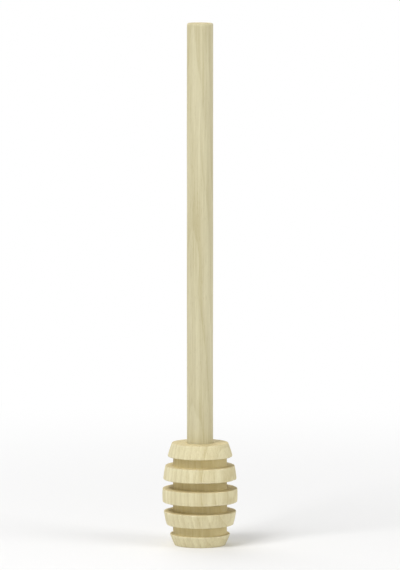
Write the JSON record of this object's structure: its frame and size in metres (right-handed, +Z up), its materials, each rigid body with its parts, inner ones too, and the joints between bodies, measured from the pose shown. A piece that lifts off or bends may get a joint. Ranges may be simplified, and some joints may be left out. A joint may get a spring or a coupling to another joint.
{
  "type": "honey dipper",
  "caption": "Wooden honey dipper: a barrel-shaped head with square-cut grooves, glued onto a plain round dowel handle.",
  "frame": {"origin": "centre of the flat tip of the head, which the dipper stands on", "axes": "+Z up the common axis of head and handle, towards the handle's butt end; X and Y lie in the plane of the tip"},
  "size_m": [0.023, 0.023, 0.16],
  "materials": {
    "turned_wood": "unfinished, as it left the lathe, matte",
    "dowel_wood": "unfinished, sanded along the grain, matte",
    "set_glue": "dried wood glue, dull"
  },
  "bodies": {
    "root": {"head": "turned_wood", "handle": "dowel_wood", "glue_line": "set_glue"}
  },
  "joints": []
}
